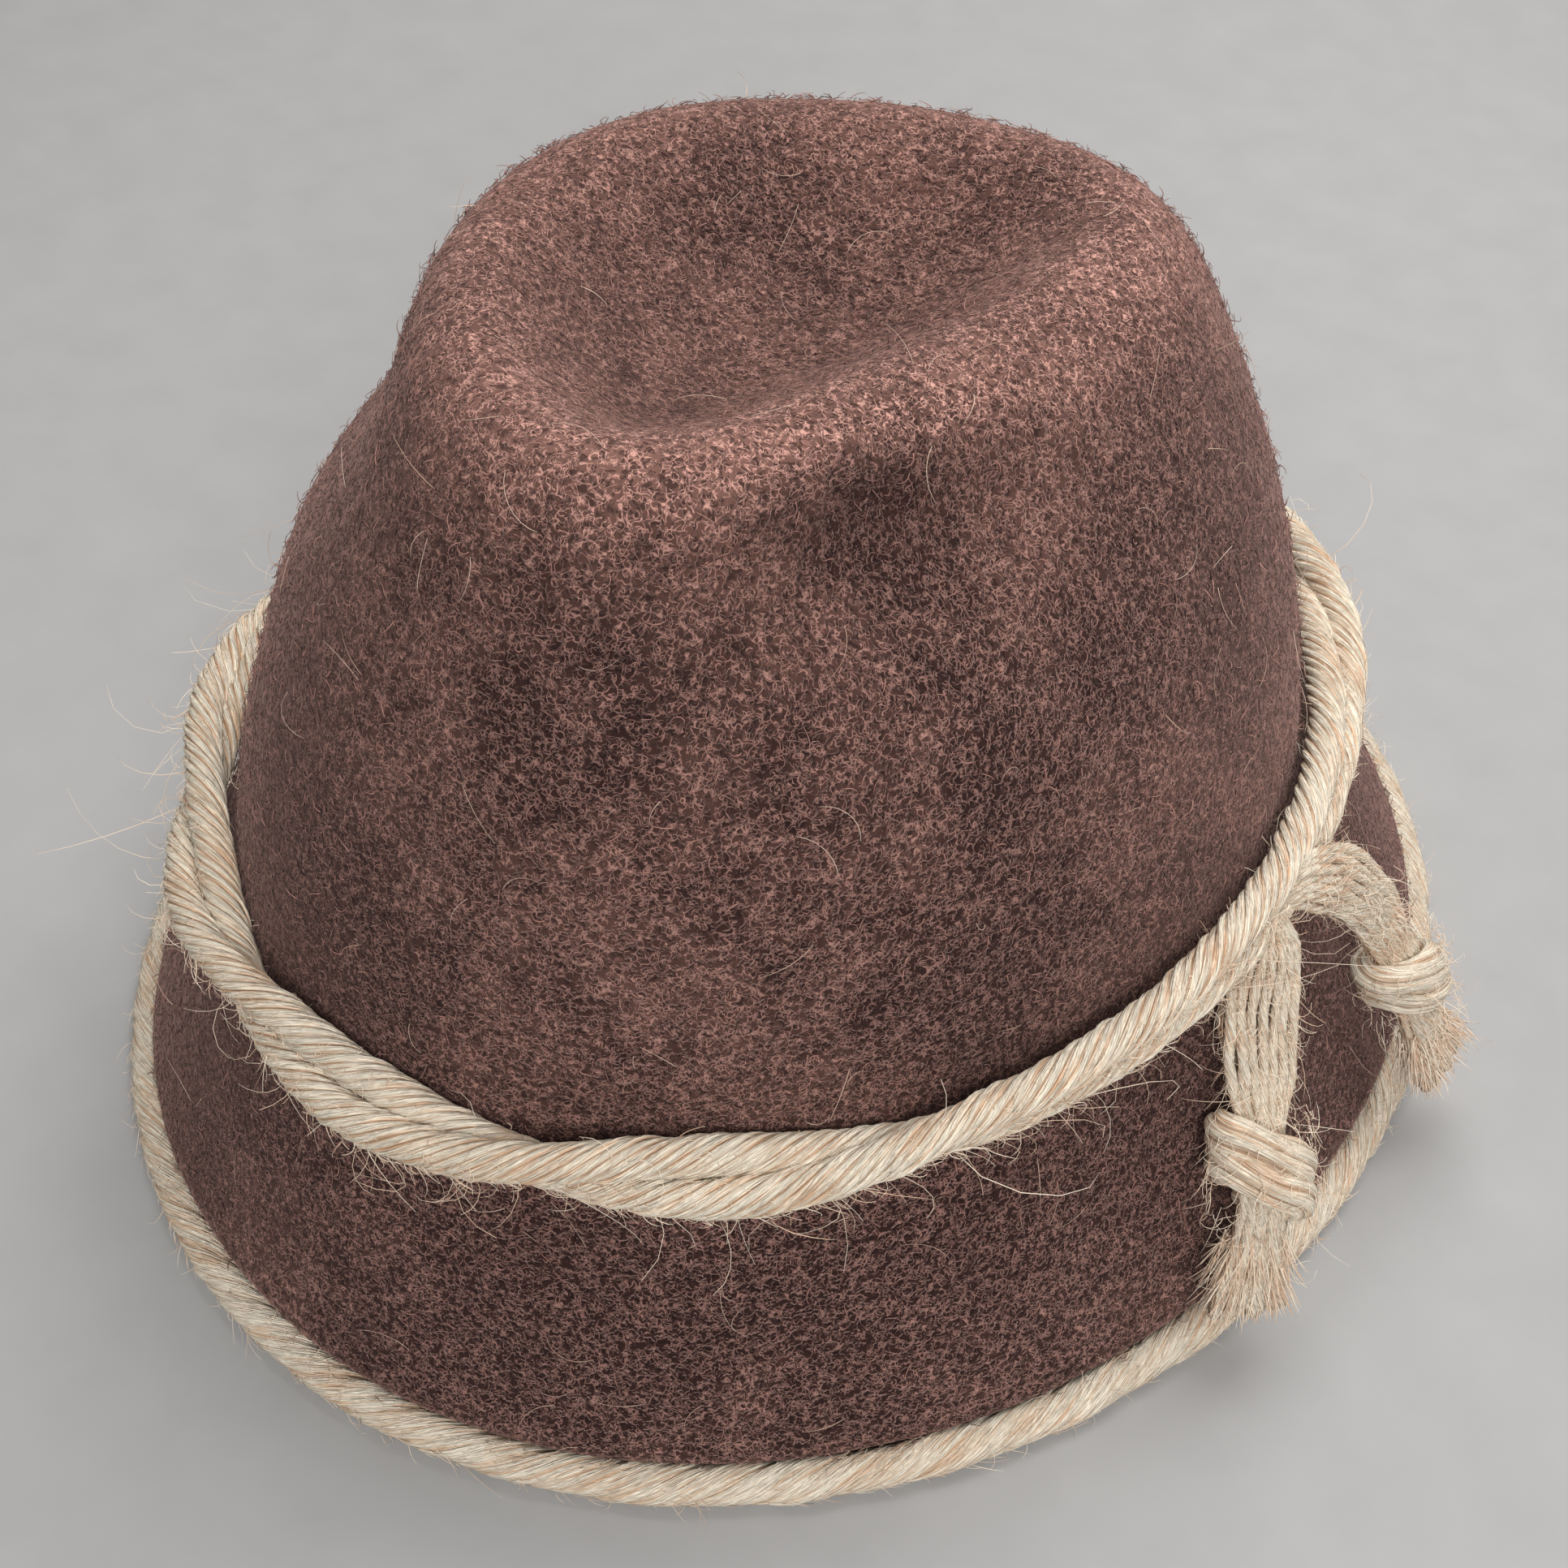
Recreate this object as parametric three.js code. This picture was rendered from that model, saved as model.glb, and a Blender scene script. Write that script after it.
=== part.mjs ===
// A felt hat with a tapered, creased crown, a steep bell-shaped brim, a twisted jute rope
// round the crown with two knotted ends, and a jute cord round the brim's edge.
// Millimetres, +Z up. The front is -Y, the wearer's left is +X, and z = 0 is the surface it rests on.
import * as THREE from 'three';

// Felt
const FELT_THICKNESS = 3;
const FELT_FACETS_AROUND = 60;
const STEPS_BETWEEN_SECTIONS = 2;

// One oval section of the felt's outer face in each row, from the brim's edge up over the
// ridge of the crown and down into the crease. back and left are where its middle lies, and
// slope is its rise for each millimetre towards the back. bow moves the front and the back of
// the section towards the wearer's left, and its two sides towards the right.
const FELT_SECTIONS = [
  { height: 7.4, halfLength: 132.9, halfWidth: 116.9, back: 5.4, left: 0, slope: 0, bow: 0 },
  { height: 21, halfLength: 126, halfWidth: 110, back: 4.6, left: 0, slope: 0, bow: 0 },
  { height: 39, halfLength: 116.2, halfWidth: 100.6, back: 2.8, left: 0, slope: 0, bow: 0 },
  { height: 56, halfLength: 106.3, halfWidth: 91.6, back: 0.8, left: 0, slope: 0, bow: 0 },
  { height: 65, halfLength: 102.6, halfWidth: 87.8, back: 0.2, left: 0, slope: 0.01, bow: 0 },
  { height: 77, halfLength: 100, halfWidth: 86, back: 0.5, left: 0, slope: 0, bow: 0 },
  { height: 93, halfLength: 95.5, halfWidth: 82.5, back: 1.5, left: 0.2, slope: -0.01, bow: 0.5 },
  { height: 111, halfLength: 89.5, halfWidth: 76, back: 2.5, left: 0.2, slope: -0.02, bow: 1 },
  { height: 128, halfLength: 82, halfWidth: 68, back: 3.5, left: 0, slope: -0.03, bow: 2.5 },
  { height: 144, halfLength: 74, halfWidth: 58.5, back: 4.5, left: 0, slope: -0.05, bow: 4.5 },
  { height: 156, halfLength: 66, halfWidth: 49.5, back: 4.5, left: -0.5, slope: -0.07, bow: 6 },
  { height: 160.5, halfLength: 57.5, halfWidth: 38.5, back: 3, left: -1, slope: -0.07, bow: 7 },
  { height: 157, halfLength: 48, halfWidth: 29, back: 2, left: -1.5, slope: -0.07, bow: 6 },
  { height: 149, halfLength: 36, halfWidth: 19, back: 1, left: -2, slope: -0.08, bow: 4 },
  { height: 143.5, halfLength: 19, halfWidth: 9, back: 0, left: -2, slope: -0.08, bow: 2 },
  { height: 142, halfLength: 0, halfWidth: 0, back: -1, left: -2, slope: 0, bow: 0 },
];
const RIDGE_SECTION = 11;

// The two pinches at the front of the crown. Angles are in degrees from the front, positive
// to the wearer's left, and the reaches are where a pinch has faded to about a third.
const PINCHES = [
  { angle: 66, height: 145, depth: 8.5, angleReach: 24, heightReach: 13 },
  { angle: -60, height: 136, depth: 8, angleReach: 24, heightReach: 14 },
];
const PINCH_FADE_SECTIONS = 2;
const NORMAL_NUDGE = 0.05;

// Rope band: two strands twisted loosely about each other like a left-handed screw, lying where
// the crown meets the brim. At the upright angle one strand is above the other.
const BAND = { halfLength: 108.6, halfWidth: 93.7, height: 66.7, slope: 0.022 };
const STRAND_RADIUS = 4;
const STRAND_OFFSET = 3.6;
const BAND_HALF_TURNS = 11;
const BAND_UPRIGHT_ANGLE = 49;
const BAND_SHIFT_AT_CROSSING = 2.2;
const BAND_FACETS_AROUND = 90;
const BAND_SECTION_POINTS = 16;

// Cord sewn round the edge of the brim, with a flat facet that the hat rests on
const EDGE_CORD = { halfLength: 133.8, halfWidth: 117.8, back: 5.4, radius: 3.5, sides: 12 };
const EDGE_CORD_FACETS_AROUND = 90;

// Loose ends of the band. A route runs down over the brim, and the lengths are measured along it:
// the bundle of yarns, then its knot, then the frayed end, with a small gap between them.
const ROPE_END_RADIUS = 4.75;
const ROPE_END_SIDES = 10;
const ROPE_END_STEPS = 8;
const KNOT_FACETS_AROUND = 12;
const GAP = 1.2;
// Shares of the knot's own length and radius, and of the frayed end's
const KNOT_PROFILE = [
  { along: 0, radius: 0.5 },
  { along: 0.12, radius: 0.82 },
  { along: 0.3, radius: 1 },
  { along: 0.7, radius: 1 },
  { along: 0.88, radius: 0.82 },
  { along: 1, radius: 0.5 },
];
const FRAY_PROFILE = [
  { along: 0, radius: 0.6 },
  { along: 0.8, radius: 1 },
  { along: 1, radius: 0.9 },
];
const ROPE_ENDS = [
  {
    name: 'front',
    bundle: 28, knot: 18, knotRadius: 8.8, fray: 15, frayRadius: 6.4,
    route: [
      [94.9, 24.5, 60.5], [97, 21.6, 56.5], [99.8, 18.8, 51.8], [102, 17, 48.6], [104.2, 15, 45.6],
      [106.5, 13, 42.8], [109, 11, 40], [111.5, 9, 37.2], [114, 7, 34.2], [116.2, 5, 31],
      [118, 3, 27.6], [119.5, 1.2, 24], [120.8, -0.4, 20.2], [122, -1.8, 16.4], [123, -3, 12.6],
    ],
  },
  {
    name: 'back',
    bundle: 34, knot: 15, knotRadius: 8.8, fray: 11, frayRadius: 6.2,
    route: [
      [95, 45.8, 65], [95.2, 47.9, 62.8], [96, 50.7, 59.2], [97.2, 53, 55.3], [98.4, 54.9, 51.1],
      [99.6, 56.4, 46.7], [101, 57.5, 42.4], [102.7, 58.3, 38.1], [104.7, 58.9, 33.9],
      [106.9, 59.4, 29.8], [109.1, 60, 25.6], [111.1, 60.8, 21.4], [112.8, 62, 17.2], [114.1, 63.5, 13],
    ],
  },
];

const FELT_MATERIAL = new THREE.MeshStandardMaterial({ color: 0x55393a, roughness: 0.95, metalness: 0 });
const JUTE_MATERIAL = new THREE.MeshStandardMaterial({ color: 0xc9a57c, roughness: 0.85, metalness: 0 });

const hat = new THREE.Group();

// The tables are measured from the middle of the crown. The hat stands with the middle of its
// brim over the origin, so every piece is moved forwards by the brim's own shift.
function addPiece(name, geometry, material) {
  geometry.translate(0, -EDGE_CORD.back, 0);
  const piece = new THREE.Mesh(geometry, material);
  piece.name = name;
  hat.add(piece);
}

// A lathed profile whose points are then moved to place(pointIndex, angle): the same closed
// surface, taken from a round form to the oval one.
function reshapedLathe(pointCount, facetsAround, place, closedSection) {
  const profile = [];
  for (let index = 0; index < pointCount; index += 1) {
    profile.push(new THREE.Vector2(1, index));
  }
  if (closedSection) {
    profile.push(profile[0].clone());
  }
  const geometry = new THREE.LatheGeometry(profile, facetsAround);
  const position = geometry.getAttribute('position');
  const perFacet = profile.length;
  for (let vertex = 0; vertex < position.count; vertex += 1) {
    const angle = (Math.floor(vertex / perFacet) / facetsAround) * 2 * Math.PI;
    const point = place((vertex % perFacet) % pointCount, angle);
    position.setXYZ(vertex, point.x, point.y, point.z);
  }
  geometry.computeVertexNormals();
  return geometry;
}

function blendRows(before, from, to, after, fraction) {
  const blended = {};
  for (const key of Object.keys(from)) {
    const [a, b, c, d] = [before[key], from[key], to[key], after[key]];
    const linear = (c - a) * fraction;
    const square = (2 * a - 5 * b + 4 * c - d) * fraction ** 2;
    const cube = (3 * b - a - 3 * c + d) * fraction ** 3;
    blended[key] = 0.5 * (2 * b + linear + square + cube);
  }
  return blended;
}

// The felt's section at a place in the table, such as 3.5 for halfway from row 3 to row 4
function feltSection(place) {
  const last = FELT_SECTIONS.length - 1;
  const from = Math.min(Math.floor(place), last - 1);
  return blendRows(
    FELT_SECTIONS[Math.max(from - 1, 0)],
    FELT_SECTIONS[from],
    FELT_SECTIONS[from + 1],
    FELT_SECTIONS[Math.min(from + 2, last)],
    place - from,
  );
}

function pinchDepth(place, height, angle) {
  const fade = THREE.MathUtils.clamp((RIDGE_SECTION - place) / PINCH_FADE_SECTIONS, 0, 1);
  let depth = 0;
  for (const pinch of PINCHES) {
    const turn = THREE.MathUtils.radToDeg(angle) - pinch.angle;
    const nearestTurn = THREE.MathUtils.euclideanModulo(turn + 180, 360) - 180;
    const across = Math.exp(-((nearestTurn / pinch.angleReach) ** 2));
    const upright = Math.exp(-(((height - pinch.height) / pinch.heightReach) ** 2));
    depth += pinch.depth * across * upright * fade;
  }
  return depth;
}

function feltOuterPoint(place, angle) {
  const section = feltSection(place);
  const pinch = pinchDepth(place, section.height, angle);
  const middleX = section.left + section.bow * Math.cos(2 * angle);
  const x = middleX + (section.halfWidth - pinch) * Math.sin(angle);
  const y = section.back - (section.halfLength - pinch) * Math.cos(angle);
  const unpinchedY = section.back - section.halfLength * Math.cos(angle);
  return new THREE.Vector3(x, y, section.height + section.slope * unpinchedY);
}

// The inner face lies one felt thickness inside the outer one, along the outer face's normal.
function feltInnerPoint(place, angle) {
  const last = FELT_SECTIONS.length - 1;
  const low = feltOuterPoint(Math.max(place - NORMAL_NUDGE, 0), angle);
  const high = feltOuterPoint(Math.min(place + NORMAL_NUDGE, last), angle);
  const before = feltOuterPoint(place, angle - NORMAL_NUDGE);
  const after = feltOuterPoint(place, angle + NORMAL_NUDGE);
  const outward = new THREE.Vector3().crossVectors(after.sub(before), high.sub(low)).normalize();
  if (place === last) {
    outward.set(0, 0, 1);
  }
  return feltOuterPoint(place, angle).addScaledVector(outward, -FELT_THICKNESS);
}

// Crown and brim are one piece of felt, so they are one shell, open below for the head.
const feltRows = (FELT_SECTIONS.length - 1) * STEPS_BETWEEN_SECTIONS + 1;
const hatBody = reshapedLathe(2 * feltRows, FELT_FACETS_AROUND, (index, angle) => {
  const inner = index < feltRows;
  const row = inner ? feltRows - 1 - index : index - feltRows;
  const place = row / STEPS_BETWEEN_SECTIONS;
  return inner ? feltInnerPoint(place, angle) : feltOuterPoint(place, angle);
}, false);
addPiece('hat_body', hatBody, FELT_MATERIAL);

// The band's section is two touching round strands, turned steadily as it runs round the crown.
function bandPoint(index, angle) {
  const fromUpright = angle - THREE.MathUtils.degToRad(BAND_UPRIGHT_ANGLE);
  const twist = -(BAND_HALF_TURNS / 2) * fromUpright;
  const around = -(index / BAND_SECTION_POINTS) * 2 * Math.PI;
  const sideways = STRAND_OFFSET * Math.sin(around);
  const strandReach = Math.sqrt(STRAND_RADIUS ** 2 - sideways ** 2);
  const reach = STRAND_OFFSET * Math.abs(Math.cos(around)) + strandReach;
  const middleOutward = BAND_SHIFT_AT_CROSSING * Math.abs(Math.sin(twist));
  const outward = middleOutward + reach * Math.sin(around + twist);
  const x = (BAND.halfWidth + outward) * Math.sin(angle);
  const y = -(BAND.halfLength + outward) * Math.cos(angle);
  const middleHeight = BAND.height + BAND.slope * y;
  return new THREE.Vector3(x, y, middleHeight + reach * Math.cos(around + twist));
}
const band = reshapedLathe(BAND_SECTION_POINTS, BAND_FACETS_AROUND, bandPoint, true);
addPiece('band_rope', band, JUTE_MATERIAL);

// The edge cord's section has flat sides, so that its lowest facet lies in z = 0.
function edgeCordPoint(index, angle) {
  const cornerRadius = EDGE_CORD.radius / Math.cos(Math.PI / EDGE_CORD.sides);
  const around = -((index + 0.5) / EDGE_CORD.sides) * 2 * Math.PI;
  const outward = cornerRadius * Math.sin(around);
  const x = (EDGE_CORD.halfWidth + outward) * Math.sin(angle);
  const y = EDGE_CORD.back - (EDGE_CORD.halfLength + outward) * Math.cos(angle);
  return new THREE.Vector3(x, y, EDGE_CORD.radius + cornerRadius * Math.cos(around));
}
const edgeCord = reshapedLathe(EDGE_CORD.sides, EDGE_CORD_FACETS_AROUND, edgeCordPoint, true);
addPiece('brim_cord', edgeCord, JUTE_MATERIAL);

// A round form along part of a route, from start to end millimetres
function turnedAlong(route, start, end, radius, profile) {
  const total = route.getLength();
  const from = route.getPointAt(start / total);
  const to = route.getPointAt(end / total);
  const length = from.distanceTo(to);
  const outline = profile.map((row) => new THREE.Vector2(row.radius * radius, row.along * length));
  const closed = [new THREE.Vector2(0, 0), ...outline, new THREE.Vector2(0, length)];
  const geometry = new THREE.LatheGeometry(closed, KNOT_FACETS_AROUND);
  const turn = new THREE.Quaternion();
  turn.setFromUnitVectors(new THREE.Vector3(0, 1, 0), to.clone().sub(from).normalize());
  geometry.applyQuaternion(turn);
  geometry.translate(from.x, from.y, from.z);
  return geometry;
}

for (const end of ROPE_ENDS) {
  const route = new THREE.CatmullRomCurve3(end.route.map((point) => new THREE.Vector3(...point)));
  const total = route.getLength();
  const knotStart = end.bundle + GAP;
  const knotEnd = knotStart + end.knot;
  const frayStart = knotEnd + GAP;

  const bundlePoints = [];
  for (let step = 0; step <= ROPE_END_STEPS; step += 1) {
    bundlePoints.push(route.getPointAt(((step / ROPE_END_STEPS) * end.bundle) / total));
  }
  const section = new THREE.Shape();
  section.absarc(0, 0, ROPE_END_RADIUS, 0, 2 * Math.PI);
  const bundle = new THREE.ExtrudeGeometry(section, {
    steps: ROPE_END_STEPS,
    curveSegments: ROPE_END_SIDES,
    extrudePath: new THREE.CatmullRomCurve3(bundlePoints),
  });
  addPiece(`rope_end_${end.name}`, bundle, JUTE_MATERIAL);

  const knot = turnedAlong(route, knotStart, knotEnd, end.knotRadius, KNOT_PROFILE);
  addPiece(`knot_${end.name}`, knot, JUTE_MATERIAL);

  const frayEnd = Math.min(frayStart + end.fray, total);
  const fray = turnedAlong(route, frayStart, frayEnd, end.frayRadius, FRAY_PROFILE);
  addPiece(`frayed_end_${end.name}`, fray, JUTE_MATERIAL);
}

export default hat;
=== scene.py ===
import math

import bmesh
import bpy
import numpy as np
from mathutils import Matrix, Vector, noise


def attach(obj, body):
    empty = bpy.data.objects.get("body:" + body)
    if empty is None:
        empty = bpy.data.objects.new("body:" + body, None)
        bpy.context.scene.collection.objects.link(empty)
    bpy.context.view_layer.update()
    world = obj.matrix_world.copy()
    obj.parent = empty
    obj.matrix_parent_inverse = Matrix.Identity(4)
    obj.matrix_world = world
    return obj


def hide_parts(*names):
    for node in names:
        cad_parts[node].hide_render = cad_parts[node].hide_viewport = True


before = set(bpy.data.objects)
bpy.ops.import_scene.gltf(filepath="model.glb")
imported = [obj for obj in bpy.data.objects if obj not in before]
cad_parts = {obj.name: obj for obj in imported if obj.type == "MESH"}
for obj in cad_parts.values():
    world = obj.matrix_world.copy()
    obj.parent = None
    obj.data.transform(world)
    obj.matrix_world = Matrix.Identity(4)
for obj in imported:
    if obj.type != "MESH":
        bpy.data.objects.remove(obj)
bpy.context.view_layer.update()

# Camera. It looks down on the hat from its front left, at arm's length, as a customer does who
# stands over a low shelf. Sizes in this file are millimetres times MM, so metres.
MM = 0.001
CAMERA_TURN = math.radians(47)
CAMERA_RISE = math.radians(47.5)
CAMERA_ROLL = math.radians(0.9)
CAMERA_DISTANCE = 431.5 * MM
CAMERA_AIM_RIGHT = 0.9 * MM
CAMERA_AIM = Vector((0, -5.4, 44)) * MM
CAMERA_LENS = 52.17
right = Vector((math.cos(CAMERA_TURN), math.sin(CAMERA_TURN), 0))
back = Vector((
    math.sin(CAMERA_TURN) * math.cos(CAMERA_RISE),
    -math.cos(CAMERA_TURN) * math.cos(CAMERA_RISE),
    math.sin(CAMERA_RISE),
))
up = back.cross(right)
rolled_right = math.cos(CAMERA_ROLL) * right + math.sin(CAMERA_ROLL) * up
rolled_up = math.cos(CAMERA_ROLL) * up - math.sin(CAMERA_ROLL) * right
camera = bpy.data.objects.new("camera", bpy.data.cameras.new("camera"))
camera.data.lens = CAMERA_LENS
camera.data.sensor_width = 36
camera.data.clip_start = 0.01
camera.matrix_world = Matrix((rolled_right, rolled_up, back)).transposed().to_4x4()
camera.matrix_world.translation = CAMERA_AIM + right * CAMERA_AIM_RIGHT + back * CAMERA_DISTANCE
bpy.context.scene.collection.objects.link(camera)
bpy.context.scene.camera = camera

# Loose ends of the rope band. Each is the band's own jute, about a dozen yarns that leave the
# band side by side, spread, and draw together again for their knot. Spread, knot and fray are in
# millimetres along the route.
LOOSE_ENDS = {
    "front": {
        "route": [
            (0.0902, 0.0216, 0.0680), (0.0926, 0.0205, 0.0640), (0.0949, 0.0191, 0.0605),
            (0.0970, 0.0162, 0.0565), (0.0998, 0.0134, 0.0518), (0.1020, 0.0116, 0.0486),
            (0.1042, 0.0096, 0.0456), (0.1065, 0.0076, 0.0428), (0.1090, 0.0056, 0.0400),
            (0.1115, 0.0036, 0.0372), (0.1140, 0.0016, 0.0342), (0.1162, -0.0004, 0.0310),
            (0.1180, -0.0024, 0.0276), (0.1195, -0.0042, 0.0240), (0.1208, -0.0058, 0.0202),
            (0.1220, -0.0072, 0.0164), (0.1230, -0.0084, 0.0126),
        ],
        "spread": [
            (0, 2.6), (8, 5.6), (17, 6.7), (27, 6.7), (33, 5.5), (38, 4.1), (45, 3.2), (54, 3.8), (71, 6.2),
        ],
        "knot": (35.5, 55.5),
        "knot_reach": 9.6,
        "fray": 56,
    },
    "back": {
        "route": [
            (0.0892, 0.0262, 0.0675), (0.0906, 0.0310, 0.0668), (0.0920, 0.0358, 0.0648),
            (0.0934, 0.0404, 0.0616), (0.0950, 0.0444, 0.0572), (0.0966, 0.0474, 0.0524),
            (0.0986, 0.0498, 0.0472), (0.1006, 0.0515, 0.0424), (0.1027, 0.0527, 0.0381),
            (0.1047, 0.0535, 0.0339), (0.1069, 0.0540, 0.0298), (0.1091, 0.0546, 0.0256),
            (0.1111, 0.0554, 0.0214), (0.1128, 0.0566, 0.0172), (0.1141, 0.0581, 0.0130),
        ],
        "spread": [(0, 3.2), (9, 4.8), (20, 5.6), (32, 5.2), (42, 4.0), (50, 3.2), (56, 3.6), (72, 5.2)],
        "knot": (40.0, 57.5),
        "knot_reach": 9.0,
        "fray": 58,
    },
}
YARN_COUNT = 13
YARN_RADIUS = 1.15 * MM
YARN_LAYER = 1.5 * MM
YARN_SIDES = 10
YARN_TURNS = 4.5
BUNDLE_HALF_WIDTH = 6.5 * MM
YARN_STATIONS = 48
JUTE_PALE = (255, 245, 226)
JUTE_MIDDLE = (230, 192, 159)
JUTE_DARK = (136, 92, 62)


def tone(red, green, blue):
    """A colour given as it shows on a screen, 0 to 255, as a shader takes it."""
    shares = [part / 255 for part in (red, green, blue)]
    return (*(s / 12.92 if s <= 0.04045 else ((s + 0.055) / 1.055) ** 2.4 for s in shares), 1)


class Level:
    """A socket that carries a number over the surface. Sums and products add Math nodes."""

    def __init__(self, finish, socket):
        self.finish = finish
        self.socket = socket

    def math(self, operation, first, second=0, clamp=False):
        settings = {"operation": operation, "use_clamp": clamp}
        return self.finish.node("ShaderNodeMath", settings, {0: first, 1: second})

    def __add__(self, other):
        return self.math("ADD", self, other)

    __radd__ = __add__

    def __sub__(self, other):
        return self.math("SUBTRACT", self, other)

    def __rsub__(self, other):
        return self.math("SUBTRACT", other, self)

    def __mul__(self, other):
        return self.math("MULTIPLY", self, other)

    __rmul__ = __mul__

    def larger(self, other):
        return self.math("MAXIMUM", self, other)

    def clamped(self):
        return self.math("ADD", self, 0, clamp=True)


class Finish:
    """A new material, and the one way that nodes are added to it."""

    def __init__(self, name, roughness, sheen=0.0, sheen_tint=(1, 1, 1, 1)):
        self.material = bpy.data.materials.new(name)
        self.material.use_nodes = True
        self.tree = self.material.node_tree
        self.shader = self.tree.nodes["Principled BSDF"]
        self.shader.inputs["Roughness"].default_value = roughness
        self.shader.inputs["Specular IOR Level"].default_value = 0.2
        self.shader.inputs["Sheen Weight"].default_value = sheen
        self.shader.inputs["Sheen Roughness"].default_value = 0.5
        self.shader.inputs["Sheen Tint"].default_value = sheen_tint

    def node(self, kind, settings, inputs, output=0):
        made = self.tree.nodes.new(kind)
        for name, value in settings.items():
            setattr(made, name, value)
        for name, value in inputs.items():
            if isinstance(value, Level):
                self.tree.links.new(value.socket, made.inputs[name])
            else:
                made.inputs[name].default_value = value
        return Level(self, made.outputs[output])

    def object_place(self):
        return self.node("ShaderNodeTexCoord", {}, {}, "Object")

    def noise(self, place, scale, detail=2.0, distortion=0.0, shift=0.0, stretch=(1, 1, 1)):
        moved = self.node(
            "ShaderNodeMapping", {}, {"Vector": place, "Location": (shift, shift, 0), "Scale": stretch}
        )
        inputs = {"Vector": moved, "Scale": scale, "Detail": detail, "Distortion": distortion}
        return self.node("ShaderNodeTexNoise", {}, inputs)

    def blend(self, share, first, second):
        return self.node("ShaderNodeMix", {"data_type": "RGBA"}, {0: share, 6: first, 7: second}, 2)

    def colour(self, level):
        self.tree.links.new(level.socket, self.shader.inputs["Base Color"])

    def bump(self, height, distance, strength=1.0):
        inputs = {"Height": height, "Distance": distance, "Strength": strength}
        made = self.node("ShaderNodeBump", {}, inputs)
        self.tree.links.new(made.socket, self.shader.inputs["Normal"])


def jute_finish(name):
    """Spun jute from the strand's UV map: pale fibres, a painted highlight on yarn crests, painted shade in
    grooves.
    """
    finish = Finish(name, 0.75, sheen=0.25, sheen_tint=tone(255, 240, 215))
    along = finish.node("ShaderNodeUVMap", {"uv_map": "strand"}, {})
    crest = finish.node("ShaderNodeAttribute", {"attribute_name": "crest"}, {}, "Fac")
    fibres = finish.noise(along, 1.0, 3.0, 0.6, stretch=(110, 2300, 1))
    fine = finish.noise(along, 1.0, 2.0, 0.3, shift=7.0, stretch=(240, 4200, 1))
    patches = finish.noise(finish.object_place(), 85, 2.0)
    # The crest term paints a highlight on each yarn's crest, and the line below paints dark shade in the
    # grooves between yarns.
    pale = ((fibres - 0.44) * 5.0 + (crest - 0.5) * 0.9 + (patches - 0.5) * 1.6 + 0.3).clamped()
    painted_groove_shade = ((0.36 - crest) * 2.0 + (0.5 - fibres) * 2.0).clamped() * (1 - crest)
    dark = ((0.43 - fine) * 7.0).clamped() * 0.6
    body = finish.blend(pale, tone(*JUTE_MIDDLE), tone(*JUTE_PALE))
    finish.colour(finish.blend(dark.larger(painted_groove_shade) * 0.85, body, tone(*JUTE_DARK)))
    finish.bump(fibres * 0.8 + fine * 0.8, 1.2 * MM, 1.0)
    return finish.material


def between(a, b, c, d, share):
    """What lies a share of the way from b to c, on a smooth curve through all four."""
    bend = (2 * a - 5 * b + 4 * c - d) * share**2 + (3 * b - a - 3 * c + d) * share**3
    return 0.5 * (2 * b + (c - a) * share + bend)


def smooth_line(points, count):
    """Even stations on a smooth curve through points, and the distance along to each."""
    samples = 400
    rows = np.array(points, float)
    rows = np.vstack([2 * rows[0] - rows[1], rows, 2 * rows[-1] - rows[-2]])
    places = np.linspace(0, len(rows) - 3, samples)
    first = np.minimum(places.astype(int), len(rows) - 4)
    line = between(*(rows[first + k] for k in range(4)), (places - first)[:, None])
    along = np.concatenate([[0], np.cumsum(np.linalg.norm(np.diff(line, axis=0), axis=1))])
    even = np.linspace(0, along[-1], count)
    return np.stack([np.interp(even, along, line[:, k]) for k in range(3)], axis=1), even


def unit(vectors):
    return vectors / np.linalg.norm(vectors, axis=-1, keepdims=True)


def square_to(axes, vectors):
    """The directions of vectors once the part of each that runs along its axis is taken out."""
    return unit(vectors - axes * (vectors * axes).sum(axis=1, keepdims=True))


def next_ring(bm, edges):
    """Extrudes a ring of edges. Gives the new ring's vertices and edges, and the faces between."""
    made = bmesh.ops.extrude_edge_only(bm, edges=edges)["geom"]
    ring = [part for part in made if isinstance(part, bmesh.types.BMVert)]
    faces = [part for part in made if isinstance(part, bmesh.types.BMFace)]
    here = set(ring)
    edges = [part for part in made if isinstance(part, bmesh.types.BMEdge)]
    return ring, [edge for edge in edges if edge.verts[0] in here and edge.verts[1] in here], faces


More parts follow.
